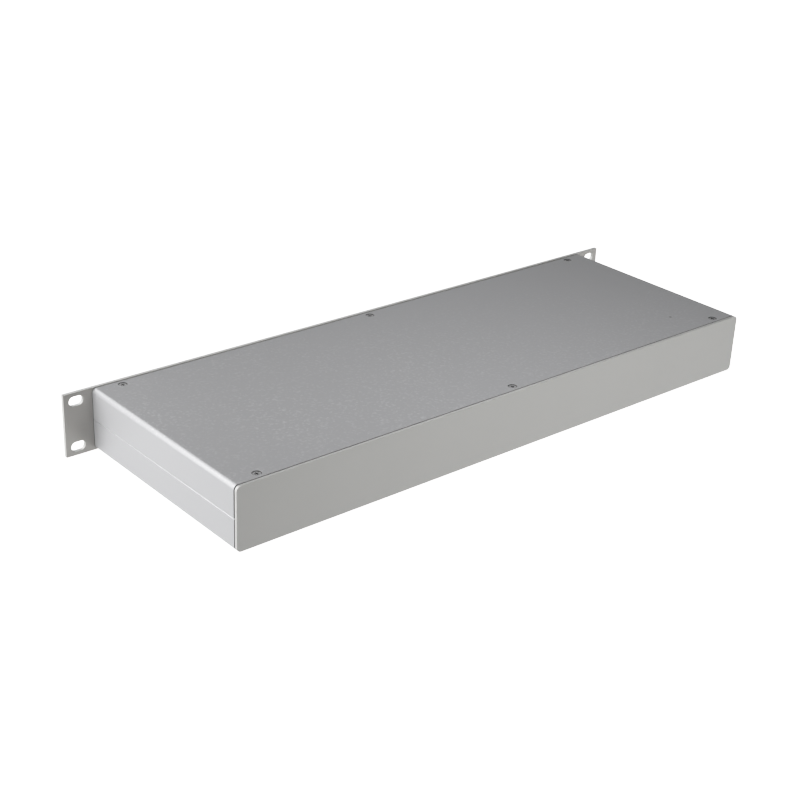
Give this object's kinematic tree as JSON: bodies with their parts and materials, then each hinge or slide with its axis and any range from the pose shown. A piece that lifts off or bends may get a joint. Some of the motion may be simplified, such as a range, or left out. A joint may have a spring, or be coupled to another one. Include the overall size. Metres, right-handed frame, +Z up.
{
  "type": "rack mount case",
  "caption": "Low closed aluminium equipment case with a slotted front panel for rack mounting, a flat rear panel and folded top and bottom covers held by countersunk screws.",
  "frame": {"origin": "middle of the rack slots, on the back face of the front panel", "axes": "+X along the front panel to the right as seen from the front, +Y from the front panel to the rear panel, +Z up"},
  "size_m": [0.4826, 0.162, 0.0436],
  "materials": {
    "panel_aluminium": "satin anodised",
    "cover_aluminium": "satin, fine mottled grain",
    "bracket_aluminium": "mill finish",
    "stud_aluminium": "plain",
    "plated_steel": "bright plated"
  },
  "bodies": {
    "root": {"front_panel": "panel_aluminium", "rear_panel": "panel_aluminium", "top_cover": "cover_aluminium", "bottom_cover": "cover_aluminium", "front_left_bracket": "bracket_aluminium", "front_centre_bracket": "bracket_aluminium", "front_right_bracket": "bracket_aluminium", "rear_left_bracket": "bracket_aluminium", "rear_centre_bracket": "bracket_aluminium", "rear_right_bracket": "bracket_aluminium", "top_front_screws": "plated_steel", "top_rear_screws": "plated_steel", "bottom_front_screws": "plated_steel", "bottom_rear_screws": "plated_steel", "front_studs": "stud_aluminium", "rear_studs": "stud_aluminium", "front_washers": "plated_steel", "rear_washers": "plated_steel", "front_nuts": "plated_steel", "rear_nuts": "plated_steel"}
  },
  "joints": []
}
